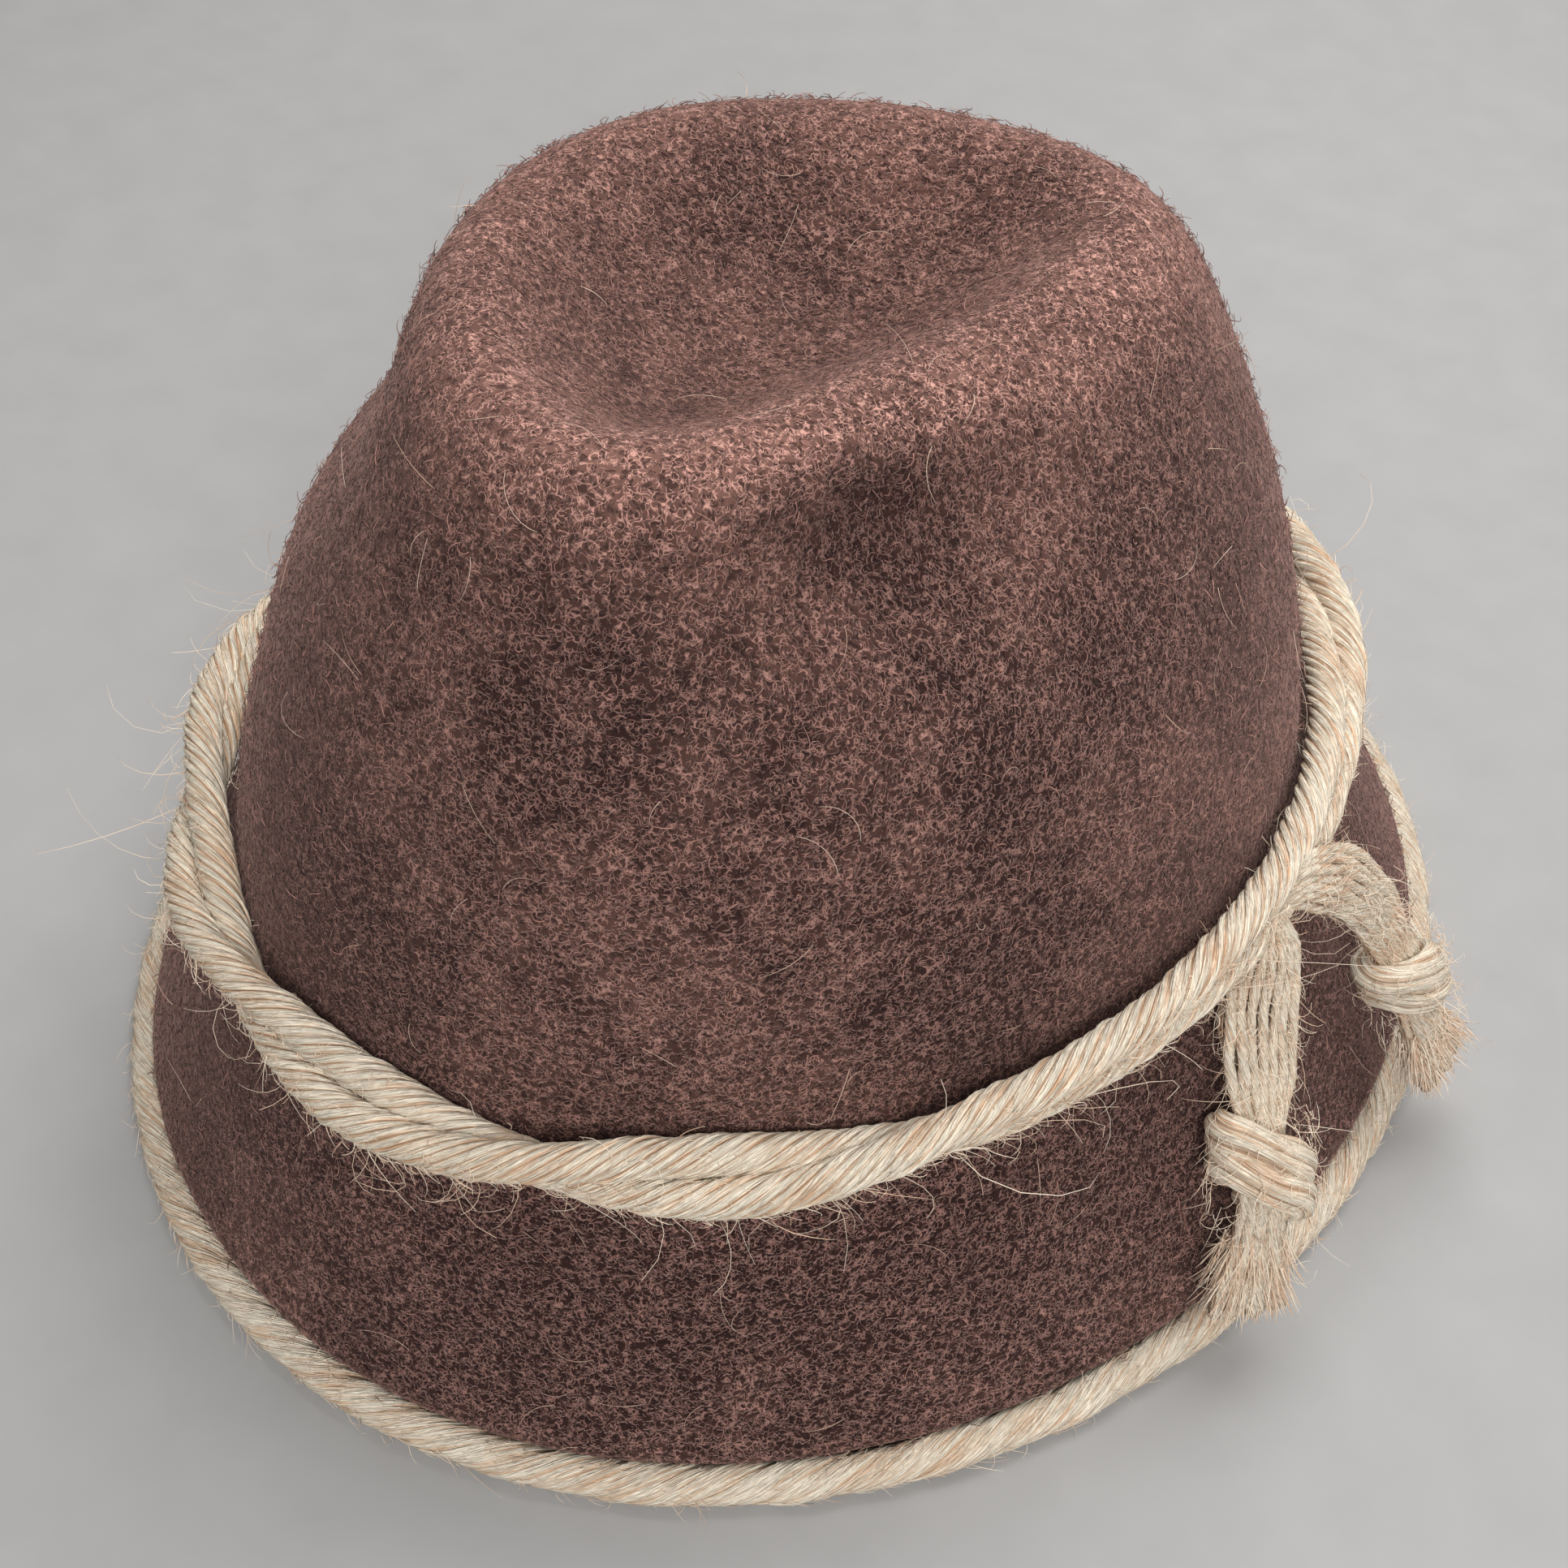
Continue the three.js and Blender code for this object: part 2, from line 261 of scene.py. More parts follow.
def strand(bm, middles, sideways, upwards, radii, crests, turns=0.0, closed=False):
    """Extrudes one ring along the middles. radii and crests have a value for each ring and side,
    and the sides wind left-handed round the middle, with the given number of turns in all."""
    stations, sides = radii.shape
    side_of = bm.verts.layers.int.get("side") or bm.verts.layers.int.new("side")
    station_of = bm.verts.layers.int.get("station") or bm.verts.layers.int.new("station")
    crest_of = bm.verts.layers.float.get("crest") or bm.verts.layers.float.new("crest")
    uv = bm.loops.layers.uv.get("strand") or bm.loops.layers.uv.new("strand")
    lay = turns * np.arange(stations)[:, None] / (stations if closed else stations - 1)
    angles = (np.arange(sides)[None] / sides + lay) * 2 * math.pi
    level, upright = (radii * np.cos(angles))[..., None], (radii * np.sin(angles))[..., None]
    rings = middles[:, None] + level * sideways[:, None] + upright * upwards[:, None]
    steps = np.linalg.norm(np.diff(middles, axis=0, append=middles[:1]), axis=1)
    along = np.concatenate([[0], np.cumsum(steps)])
    girth = 2 * math.pi * float(radii.mean())
    ring = bmesh.ops.create_circle(bm, segments=sides, radius=1)["verts"]
    for side, vert in enumerate(ring):
        vert[side_of] = side
    edges = list(dict.fromkeys(edge for vert in ring for edge in vert.link_edges))
    first_edges, faces = edges, []
    for station in range(stations):
        if station:
            ring, edges, made = next_ring(bm, edges)
            faces += made
        for vert in ring:
            side = vert[side_of]
            vert.co = rings[station, side]
            vert[station_of] = station
            vert[crest_of] = crests[station, side]
    if closed:
        faces += bmesh.ops.bridge_loops(bm, edges=first_edges + edges)["faces"]
    else:
        bmesh.ops.edgeloop_fill(bm, edges=first_edges)
        bmesh.ops.edgeloop_fill(bm, edges=edges)
    for face in faces:
        last_side = any(loop.vert[side_of] == sides - 1 for loop in face.loops)
        last_station = closed and any(loop.vert[station_of] == stations - 1 for loop in face.loops)
        for loop in face.loops:
            side, station = loop.vert[side_of], loop.vert[station_of]
            side = sides if side == 0 and last_side else side
            station = stations if station == 0 and last_station else station
            loop[uv].uv = along[station], side / sides * girth


def finished(bm, name, material):
    """The bmesh as an object at the origin, with outward faces, smooth and with its material."""
    bmesh.ops.recalc_face_normals(bm, faces=bm.faces)
    for face in bm.faces:
        face.smooth = True
    mesh = bpy.data.meshes.new(name)
    bm.to_mesh(mesh)
    bm.free()
    mesh.materials.append(material)
    piece = bpy.data.objects.new(name, mesh)
    bpy.context.scene.collection.objects.link(piece)
    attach(piece, "root")
    return piece


def frames(line):
    """Unit vectors along a line on the brim, across it, and away from the felt."""
    ahead = unit(np.gradient(line, axis=0))
    outward = unit(line * (1, 0.8, 0) + (0, 0, 0.05)) + 0.7 * np.array(back)
    away = square_to(ahead, outward)
    return ahead, np.cross(ahead, away), away


def beside(end, where):
    """The line of a loose end at distances along it, and the three directions of its frame."""
    rows = end["line"], *end["frames"]
    middle, *directions = (
        np.stack([np.interp(where, end["along"], row[:, k]) for k in range(3)], axis=1) for row in rows
    )
    return middle, *(unit(direction) for direction in directions)


jute = jute_finish("jute")
ends = {}
for name, end in LOOSE_ENDS.items():
    line, along = smooth_line(end["route"], YARN_STATIONS)
    ahead, across, away = frames(line)
    spread = np.interp(along / MM, *zip(*end["spread"])) * MM
    chance = np.random.default_rng(len(name))
    bm = bmesh.new()
    for number in range(YARN_COUNT):
        share = 2 * number / (YARN_COUNT - 1) - 1
        layer = (-0.8 if number % 2 else 1) * YARN_LAYER * (1.15 - 0.6 * share**2)
        waves = along / MM / 11 + number * 1.7
        wander = np.array([noise.noise((wave, number * 3.1, 0)) for wave in waves]) * 0.9 * MM
        lift = np.array([noise.noise((wave, number * 3.1, 5)) for wave in waves]) * 0.8 * MM
        sideways = np.clip(share * spread + wander, -BUNDLE_HALF_WIDTH, BUNDLE_HALF_WIDTH)
        middles = line + across * sideways[:, None] + away * (layer + lift)[:, None]
        fray_share = np.clip((along / MM - end["fray"]) / 8, 0, 1)[:, None]
        lumps = np.array([noise.noise((wave * 2.3, number * 1.3, 9)) for wave in waves])[:, None]
        size = YARN_RADIUS * chance.uniform(0.85, 1.08) * (1 + 0.12 * lumps + 0.15 * fray_share)
        corners = np.arange(YARN_SIDES)[None] / YARN_SIDES
        lay = YARN_TURNS * np.linspace(0, 1, YARN_STATIONS)[:, None] + corners
        facing = np.sin(lay * 2 * math.pi) * (1 if number % 2 == 0 else -1)
        plies = np.abs(np.cos(corners * 2 * math.pi)) * np.ones((YARN_STATIONS, 1))
        crests = np.clip(facing, 0, 1) ** 0.6 * (0.55 + 0.45 * plies)
        strand(bm, middles, across, away, size * (0.86 + 0.16 * plies), crests, turns=YARN_TURNS)
    ends[name] = {"line": line, "along": along, "frames": (ahead, across, away), "spread": spread}
    ends[name]["yarns"] = finished(bm, f"rope_end_{name}_yarns", jute)
    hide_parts(f"rope_end_{name}")

# Knots of the loose ends. Each is the bundle wound round itself and pulled tight, so it shows as
# two or three broad turns of yarn, higher on one side than on the other. The margin is in
# millimetres along the route.
KNOT_TURNS = 2.35
KNOT_STATIONS = 130
KNOT_YARNS = 5
KNOT_SIDES = 30
KNOT_ROPE = 3.3 * MM
KNOT_TILT = -2.3 * MM
KNOT_MARGIN = 4.2
KNOT_LAY_TURNS = 1.3
KNOT_FIRST_ANGLE = 3.6
for name, end in LOOSE_ENDS.items():
    start, stop = end["knot"]
    share = np.linspace(0, 1, KNOT_STATIONS)
    turn = share * KNOT_TURNS * 2 * math.pi + KNOT_FIRST_ANGLE
    uneven = np.array([noise.noise((t * 0.9, len(name), 2)) for t in turn])
    where = (start + KNOT_MARGIN + (stop - start - 2 * KNOT_MARGIN) * share**1.1) * MM
    where = where + KNOT_TILT * np.cos(turn) + 0.9 * MM * uneven
    middle, tangent, side, out = beside(ends[name], where)
    swell = np.clip(np.minimum(share, 1 - share) * 9, 0, 1) ** 0.7
    reach = (end["knot_reach"] * MM - KNOT_ROPE * 0.85) * (0.05 + 0.95 * swell) + 0.5 * MM * uneven
    radial = side * np.cos(turn)[:, None] * 1.06 + out * np.sin(turn)[:, None] * 0.8
    angles = np.arange(KNOT_SIDES) * 2 * math.pi / KNOT_SIDES
    lobes = np.abs(np.sin(KNOT_YARNS * angles / 2))[None] ** 0.7 * np.ones((KNOT_STATIONS, 1))
    lay = (angles[None] / (2 * math.pi) + KNOT_LAY_TURNS * share[:, None]) * 2 * math.pi
    flat = 1 / np.sqrt((np.cos(lay) / 0.84) ** 2 + (np.sin(lay) / 1.2) ** 2)
    size = KNOT_ROPE * (0.7 + 0.3 * swell) * (1 + 0.12 * np.roll(uneven, 30))
    radii = size[:, None] * flat * (0.8 + 0.22 * lobes)
    bm = bmesh.new()
    wraps = middle + radial * reach[:, None]
    strand(bm, wraps, unit(radial), tangent, radii, lobes, turns=KNOT_LAY_TURNS)
    knot = finished(bm, f"knot_{name}_wraps", jute)
    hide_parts(f"knot_{name}")
    ends[name]["knot"] = knot

# Frayed ends. Past its knot each bundle is cut and has opened into a brush of loose fibres.
FRAY_FIBRES = 520
FRAY_RADIUS = 0.16 * MM
FRAY_HALF_WIDTH = 5.2 * MM
FRAY_HALF_DEPTH = 2.6 * MM
END_HAIRS = 700
FLOOR_GAP = 0.2 * MM


def fibres(name, roots, normals, forwards, lengths, radius, steps, lift, turn, spread, seed, material):
    """One mesh of thin three-sided hairs. Each starts at its root and bends steadily: lift is its
    first and last slope off the surface, turn its most bend, spread its first sideways angle. None
    goes through the floor."""
    chance = np.random.default_rng(seed)
    count = len(roots)
    sides = np.cross(normals, forwards)
    heading = chance.uniform(-spread, spread, count)
    bend = chance.uniform(-turn, turn, count)
    first, last = (chance.normal(value, 0.25, count) for value in lift)
    points = [roots]
    headings = []
    for step in range(steps):
        share = step / (steps - 1)
        slope = (first + (last - first) * share)[:, None]
        angle = (heading + bend * share)[:, None]
        level = np.cos(angle) * forwards + np.sin(angle) * sides
        ahead = np.cos(slope) * level + np.sin(slope) * normals
        headings.append(ahead)
        points.append(points[-1] + ahead * (lengths / (steps - 1))[:, None])
    middles = np.stack(points[:steps], axis=1)
    middles[..., 2] = np.maximum(middles[..., 2], FLOOR_GAP)
    ahead = np.stack(headings, axis=1)
    right_hand = unit(np.cross(ahead, normals[:, None] + 0.01))
    left_hand = np.cross(ahead, right_hand)
    taper = radius * (1 - 0.6 * np.linspace(0, 1, steps)) * chance.uniform(0.7, 1.2, (count, 1))
    rings = [
        middles + taper[..., None] * (math.cos(a) * right_hand + math.sin(a) * left_hand)
        for a in (0, 2 * math.pi / 3, 4 * math.pi / 3)
    ]
    verts = np.stack(rings, axis=2).reshape(-1, 3)
    first_vert = np.arange(count)[:, None] * steps * 3
    quads, caps = [], [first_vert + (0, 2, 1), first_vert + (steps - 1) * 3 + (0, 1, 2)]
    for step in range(steps - 1):
        for side in range(3):
            low, high = step * 3 + side, step * 3 + (side + 1) % 3
            quads.append(first_vert + (low, high, high + 3, low + 3))
    quads, caps = np.concatenate(quads), np.concatenate(caps)
    mesh = bpy.data.meshes.new(name)
    mesh.vertices.add(len(verts))
    mesh.vertices.foreach_set("co", verts.ravel())
    mesh.loops.add(quads.size + caps.size)
    mesh.loops.foreach_set("vertex_index", np.concatenate([quads.ravel(), caps.ravel()]).astype(np.int32))
    starts = np.concatenate([np.arange(len(quads)) * 4, quads.size + np.arange(len(caps)) * 3])
    mesh.polygons.add(len(starts))
    mesh.polygons.foreach_set("loop_start", starts.astype(np.int32))
    mesh.polygons.foreach_set("use_smooth", np.ones(len(starts), bool))
    shade = mesh.attributes.new("shade", "FLOAT", "POINT")
    shade.data.foreach_set("value", np.repeat(chance.uniform(0, 1, count), steps * 3).astype(np.float32))
    mesh.update(calc_edges=True)
    mesh.materials.append(material)
    piece = bpy.data.objects.new(name, mesh)
    bpy.context.scene.collection.objects.link(piece)
    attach(piece, "root")
    return piece


def hair_finish(name, dark, pale):
    """Loose fibres: each one has its own shade between dark and pale."""
    finish = Finish(name, 0.6, sheen=0.2)
    shade = finish.node("ShaderNodeAttribute", {"attribute_name": "shade"}, {}, "Fac")
    patches = finish.noise(finish.object_place(), 400, 1.0)
    share = (shade * 0.8 + (patches - 0.4) * 0.5).clamped()
    finish.colour(finish.blend(share, tone(*dark), tone(*pale)))
    return finish.material


jute_hair = hair_finish("jute_hair", (220, 186, 158), (254, 244, 226))
for name, end in LOOSE_ENDS.items():
    chance = np.random.default_rng(40 + len(name))
    line, along = ends[name]["line"], ends[name]["along"]
    where = chance.uniform(end["fray"] * MM, along[-1] - 3 * MM, FRAY_FIBRES)
    middle, ahead, side, out = beside(ends[name], where)
    sideways = chance.uniform(-1, 1, FRAY_FIBRES)[:, None]
    outwards = chance.uniform(-1, 1, FRAY_FIBRES)[:, None]
    roots = middle + side * sideways * FRAY_HALF_WIDTH + out * outwards * FRAY_HALF_DEPTH
    lean = unit(ahead + side * sideways * 0.42 + out * outwards * 0.15)
    normals = unit(out * np.where(outwards > 0, 1, -1) - lean * 0.01)
    normals = square_to(lean, normals)
    lengths = np.clip(along[-1] + 1.5 * MM - where, 2 * MM, 9 * MM)
    lengths = lengths * chance.uniform(0.86, 1.04, FRAY_FIBRES)
    fray = fibres(
        f"frayed_end_{name}_fibres", roots, normals, lean, lengths, radius=FRAY_RADIUS, steps=5,
        lift=(0.03, 0.05), turn=0.5, spread=0.16, seed=50 + len(name), material=jute_hair,
    )
    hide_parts(f"frayed_end_{name}")
    where = chance.uniform(2 * MM, along[-1] - 6 * MM, END_HAIRS)
    middle, ahead, side, out = beside(ends[name], where)
    inside_knot = (where > end["knot"][0] * MM) & (where < end["knot"][1] * MM)
    half = np.where(inside_knot, end["knot_reach"] * MM, np.interp(where, along, ends[name]["spread"]))
    angle = chance.uniform(-0.5, math.pi + 0.5, END_HAIRS)[:, None]
    normals = unit(side * np.cos(angle) + out * np.sin(angle))
    depth = np.where(inside_knot, end["knot_reach"] * 0.8 * MM, 3.2 * MM)[:, None]
    roots = middle + side * np.cos(angle) * half[:, None] + out * np.sin(angle) * depth
    forwards = square_to(normals, ahead)
    strays = fibres(
        f"rope_end_{name}_hairs", roots, normals, forwards, chance.gamma(2.6, 1.5, END_HAIRS) * MM,
        radius=0.085 * MM, steps=6, lift=(0.5, 0.0), turn=3.2, spread=1.5, seed=60 + len(name),
        material=jute_hair,
    )

# Felt crown and brim. One piece of brown wool felt, blocked over a wooden form: the crown is
# creased along its top and pinched at both sides of the front, and the brim flares steeply.
# Each section has its height, half length, half width, shift back, shift left, slope and bow.
FELT_SECTIONS = np.array([
    (7.4, 132.9, 116.9, 5.4, 0, 0, 0),
    (21, 126, 110, 4.6, 0, 0, 0),
    (39, 116.2, 100.6, 2.8, 0, 0, 0),
    (56, 106.3, 91.6, 0.8, 0, 0, 0),
    (65, 102.6, 87.8, 0.2, 0, 0.01, 0),
    (77, 100, 86, 0.5, 0, 0, 0),
    (93, 95.5, 82.5, 1.5, 0.2, -0.01, 0.5),
    (111, 89.5, 76, 2.5, 0.2, -0.02, 1),
    (128, 82, 68, 3.5, 0, -0.03, 2.5),
    (144, 74, 58.5, 4.5, 0, -0.05, 4.5),
    (156, 66, 49.5, 4.5, -0.5, -0.07, 6),
    (160.5, 57.5, 38.5, 3, -1, -0.07, 7),
    (157, 48, 29, 2, -1.5, -0.07, 6),
    (149, 36, 19, 1, -2, -0.08, 4),
    (143.5, 19, 9, 0, -2, -0.08, 2),
    (142, 0, 0, -1, -2, 0, 0),
])
BRIM_SHIFT = 5.4
RIDGE_SECTION = 11
PINCHES = (
    {"angle": 66, "height": 147, "depth": 10.0, "angle_reach": 24, "height_reach": 12},
    {"angle": -60, "height": 136, "depth": 8.0, "angle_reach": 24, "height_reach": 14},
)
FELT_THICKNESS = 3 * MM
FELT_SIDES = 96
FELT_STEPS = 3
FELT_WAVES = ((38, 0.5), (110, 0.16))
# Where the felt's painted highlight on the top edge and its painted shade in the pinches lie, in sections.
TOP_EDGE_SECTION = 10.7
PINCH_SECTION = 9.6
CURL_SCALES = (620, 840)


def pinch_turn(dent, angle):
    """How far angle is round from the middle of a pinch, as a share of the pinch's reach."""
    return ((np.degrees(angle) - dent["angle"] + 180) % 360 - 180) / dent["angle_reach"]


def felt_point(place, angle):
    """A point on the felt's outer face. place counts the sections from the brim's edge, and angle
    runs from the front towards the wearer's left."""
    place, angle = np.broadcast_arrays(np.asarray(place, float), np.asarray(angle, float))
    last = len(FELT_SECTIONS) - 1
    first = np.clip(place.astype(int), 0, last - 1)
    nearest = (FELT_SECTIONS[np.clip(first + k, 0, last)] for k in (-1, 0, 1, 2))
    section = between(*nearest, (place - first)[..., None])
    height, length, width, behind, left, slope, bow = np.moveaxis(section, -1, 0)
    fade = np.clip((RIDGE_SECTION - place) / 2, 0, 1)
    pinch = np.zeros_like(height)
    for dent in PINCHES:
        upright = (height - dent["height"]) / dent["height_reach"]
        pinch += dent["depth"] * fade * np.exp(-(pinch_turn(dent, angle) ** 2) - upright**2)
    x = (width - pinch) * np.sin(angle) + left + bow * np.cos(2 * angle)
    y = behind - (length - pinch) * np.cos(angle)
    z = height + slope * (behind - length * np.cos(angle))
    return np.stack([x, y - BRIM_SHIFT, z], axis=-1) * MM


def felt_normal(place, angle):
    nudge = 0.04
    last = len(FELT_SECTIONS) - 1
    higher, lower = np.minimum(place + nudge, last), np.maximum(place - nudge, 0)
    rise = felt_point(higher, angle) - felt_point(lower, angle)
    round_way = felt_point(place, angle + nudge) - felt_point(place, angle - nudge)
    normal = np.cross(round_way, rise)
    return normal / np.maximum(np.linalg.norm(normal, axis=-1, keepdims=True), 1e-12)


def felt_painted_light(place, angle):
    """How much painted light the felt's colour gets: a painted highlight along the crown's top edge, 1,
    painted shade in its pinches, towards 0, and more painted light on the side towards the side light."""
    rim = np.exp(-((place - TOP_EDGE_SECTION) ** 2)) * (0.8 + 0.2 * np.cos(angle - 1.2))
    below = np.clip(12 - place, 0, 1)
    painted_light = 0.25 + 0.65 * rim + below * 0.15 * np.cos(angle - 1.0) + (1 - below) * 0.07
    for dent in PINCHES:
        across = pinch_turn(dent, angle) ** 2 + ((place - PINCH_SECTION) / 0.7) ** 2
        painted_light = painted_light - 0.45 * np.exp(-across)
    return painted_light


def felt_finish():
    """Wool felt: matted hairs that curl in loops a millimetre or two wide, dark pits between them,
    and cloudy patches. The hairs are the edges of two bent cell patterns, broken up by noise."""
    finish = Finish("felt", 0.95, sheen=0.4, sheen_tint=tone(226, 182, 172))
    place = finish.object_place()
    # Painted light and shade from the vertices: a highlight on the crown's top edge and shade in the
    # pinches.
    painted_light = finish.node("ShaderNodeAttribute", {"attribute_name": "painted_light"}, {}, "Fac")
    bends = finish.node("ShaderNodeTexNoise", {}, {"Vector": place, "Scale": 800, "Detail": 0.0}, "Color")
    multiply_add = {"operation": "MULTIPLY_ADD"}
    curls = None
    for number, scale in enumerate(CURL_SCALES):
        push = (1.9 * MM + number * MM,) * 3
        bent = finish.node("ShaderNodeVectorMath", multiply_add, {0: bends, 1: push, 2: place})
        cells = finish.node(
            "ShaderNodeTexVoronoi", {"feature": "DISTANCE_TO_EDGE"}, {"Vector": bent, "Scale": scale},
        )
        broken = ((finish.noise(place, scale, 0.0, shift=2.3 + number) - 0.43) * 7).clamped()
        hair = (1 - cells * 12.5).clamped() * broken
        curls = hair if curls is None else curls.larger(hair)
    pits = ((0.5 - finish.noise(place, 900, 1.0, 0.5, shift=1.7)) * 8).clamped()
    clouds = finish.noise(place, 26, 2.0)
    blotches = finish.noise(place, 130, 1.0, shift=0.9)
    # Painted light: the colour is lighter higher up and darker towards the brim, as a high lamp would light
    # it.
    height = finish.node("ShaderNodeSeparateXYZ", {}, {"Vector": place}, "Z")
    painted_height_light = (height * 7 - 0.3).clamped()
    share = ((clouds - 0.5) * 1.3 + (blotches - 0.5) * 0.6 + painted_height_light * 0.5 + painted_light * 0.8 - 0.4).clamped()
    base = finish.blend(share, tone(39, 20, 18), tone(122, 88, 79))
    pitted = finish.blend(pits * (1 - curls) * 0.6, base, tone(20, 8, 9))
    strength = ((blotches - 0.5) * 0.4 + (clouds - 0.5) * 0.6 + painted_height_light * 0.15 + painted_light * 1.3 - 0.07).clamped()
    finish.colour(finish.blend(curls * strength, pitted, tone(212, 162, 150)))
    finish.bump(blotches * 0.5 - pits * 0.8, 0.8 * MM, 0.9)
    return finish.material


felt = felt_finish()
bm = bmesh.new()
side_of, painted_light_of = bm.verts.layers.int.new("side"), bm.verts.layers.float.new("painted_light")
angles = np.arange(FELT_SIDES) * 2 * math.pi / FELT_SIDES
ring = bmesh.ops.create_circle(bm, segments=FELT_SIDES, radius=1)["verts"]
for side, vert in enumerate(ring):
    vert[side_of] = side
edges = list(bm.edges)
felt_rows = (len(FELT_SECTIONS) - 1) * FELT_STEPS
for row in range(felt_rows):
    if row:
        ring, edges = next_ring(bm, edges)[:2]
    place = row / FELT_STEPS
    points, normals = felt_point(place, angles), felt_normal(place, angles)
    # Each vertex keeps how much painted light or shade the felt's colour gets there.
    painted_lights = felt_painted_light(place, angles)
    for vert in ring:
        point, normal = Vector(points[vert[side_of]]), Vector(normals[vert[side_of]])
        wave = sum(noise.noise(point * often) * height for often, height in FELT_WAVES)
        vert.co = point + normal * wave * MM
        vert[painted_light_of] = painted_lights[vert[side_of]]
pole = next_ring(bm, edges)[0]
bmesh.ops.pointmerge(bm, verts=pole, merge_co=Vector(felt_point(len(FELT_SECTIONS) - 1.0, 0.0)))
hat = finished(bm, "felt_crown_and_brim", felt)
if max(hat.data.polygons, key=lambda face: face.center.z).normal.z < 0:
    hat.data.flip_normals()
wall = hat.modifiers.new("wall", "SOLIDIFY")
wall.thickness = FELT_THICKNESS
wall.offset = -1
wall.use_even_offset = True
round_off = hat.modifiers.new("round", "SUBSURF")
round_off.levels = 1
round_off.render_levels = 1
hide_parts("hat_body")

# Loose wool on the felt. The felt is brushed, so short curled hairs stand off it everywhere, with
# a few long pale ones. They are spread evenly over the outer face in three bands of height.
WOOL_BANDS = {"brim": (0.0, 4.6, 4400), "side": (4.6, 9.3, 6200), "top": (9.3, 14.6, 4200)}
WOOL_RADIUS = 0.105 * MM
LONG_HAIRS = 260
wool = hair_finish("wool_hair", (74, 42, 38), (186, 136, 124))


def wool_roots(chance, low, high, count):
    """Points spread evenly by area over a band of the felt, with normals and a level direction."""
    places = chance.uniform(low, high, count * 12)
    angles = chance.uniform(0, 2 * math.pi, count * 12)
    nudge = 0.01
    rise = felt_point(places + nudge, angles) - felt_point(places, angles)
    round_way = felt_point(places, angles + nudge) - felt_point(places, angles)
    area = np.linalg.norm(np.cross(rise, round_way), axis=1)
    kept = chance.choice(len(places), count, replace=False, p=area / area.sum())
    places, angles = places[kept], angles[kept]
    return felt_point(places, angles), felt_normal(places, angles), unit(round_way[kept])


for band, (low, high, count) in WOOL_BANDS.items():
    chance = np.random.default_rng(len(band) * 7)
    roots, normals, forwards = wool_roots(chance, low, high, count)
    lengths = chance.uniform(1.3, 3.4, count) * MM
    hairs = fibres(
        f"wool_hairs_{band}", roots - normals * 0.15 * MM, normals, forwards, lengths,
        radius=WOOL_RADIUS, steps=5, lift=(0.4, -0.25), turn=3.8, spread=math.pi,
        seed=11 + len(band), material=wool,
    )
chance = np.random.default_rng(5)
roots, normals, forwards = wool_roots(chance, 0.3, 14.4, LONG_HAIRS)
long_hairs = fibres(
    "wool_hairs_long", roots - normals * 0.1 * MM, normals, forwards,
    chance.uniform(4, 11, LONG_HAIRS) * MM, radius=0.08 * MM, steps=8, lift=(0.4, -0.1), turn=1.8,
    spread=math.pi, seed=12, material=hair_finish("pale_hair", (176, 140, 120), (232, 208, 190)),
)

# Rope band. Two thick strands of jute yarn are laid loosely round each other and round the foot
# of the crown. As they cross an odd number of times, they are one strand that goes round twice.
BAND = {"half_length": 108.6, "half_width": 93.7, "height": 66.7, "slope": 0.022}
STRAND_RADIUS = 3.3
BAND_HALF_TURNS = 9
BAND_TWIST = [
    (-230, 1424), (-4, 194), (33, 32), (49, -57), (65.5, -149), (86, -164), (107, -176), (130, -196),
    (356, -1426), (393, -1588),
]
BAND_OFFSET = [(-4, 2.9), (33, 2.8), (49, 2.8), (65, 2.7), (86, 2.6), (130, 2.6), (170, 3.1), (356, 2.9)]
BAND_TILT = 0.3
BAND_INNER_REACH = 2.2
BAND_STATIONS = 900
BAND_YARNS = 10
BAND_SIDES = BAND_YARNS * 6
BAND_YARN_TURNS = 44
UPWARDS = np.array((0.0, 0.0, 1.0))


def band_middle(turn):
    """The middle of the strand and its outward direction. turn runs twice round the crown, and
    the twist, in degrees at angles round the crown, is how far the pair of strands has wound.
    The inner strand is held clear of the felt by its reach, and the outer one bulges instead."""
    degrees = (np.degrees(turn) + 4) % 360 - 4
    rounds = np.floor((np.degrees(turn) + 4) / 360)
    spots = np.linspace(-8, 8, 9)
    twist = np.mean([np.interp(degrees + spot, *zip(*BAND_TWIST)) for spot in spots], axis=0)
    twist = np.radians(twist - 180 * BAND_HALF_TURNS * rounds)
    offset = np.interp(degrees, *zip(*BAND_OFFSET))
    outward = (offset - BAND_INNER_REACH) * np.abs(np.sin(twist))
    outward = outward + offset * (np.sin(twist) - BAND_TILT * np.cos(twist))
    x = (BAND["half_width"] + outward) * np.sin(turn)
    y = -(BAND["half_length"] + outward) * np.cos(turn)
    z = BAND["height"] + BAND["slope"] * y + offset * np.cos(twist)
    away_x, away_y = np.sin(turn) * BAND["half_length"], -np.cos(turn) * BAND["half_width"]
    middles = np.stack([x, y - BRIM_SHIFT, z], axis=-1) * MM
    return middles, unit(np.stack([away_x, away_y, 0 * turn], axis=-1))


def laid_yarns(stations, sides, yarns, depth, seed):
    """Shares of a strand's radius, and how near each side is to the crest of its yarn."""
    angles = np.arange(sides)[None] * 2 * math.pi / sides
    crests = np.abs(np.sin(yarns * angles / 2)) ** 0.7 * np.ones((stations, 1))
    swells = 60
    uneven = np.random.default_rng(seed).uniform(-1, 1, (yarns, swells))
    number = (np.arange(sides) * yarns // sides)[None] * np.ones((stations, 1), int)
    position = np.arange(stations)[:, None] / stations * swells + number * 3.3
    low = position.astype(int)
    mix = position - low
    swell = uneven[number, low % swells] * (1 - mix) + uneven[number, (low + 1) % swells] * mix
    return 1 - depth + depth * crests * (1 + 0.45 * swell) + 0.025 * swell, crests


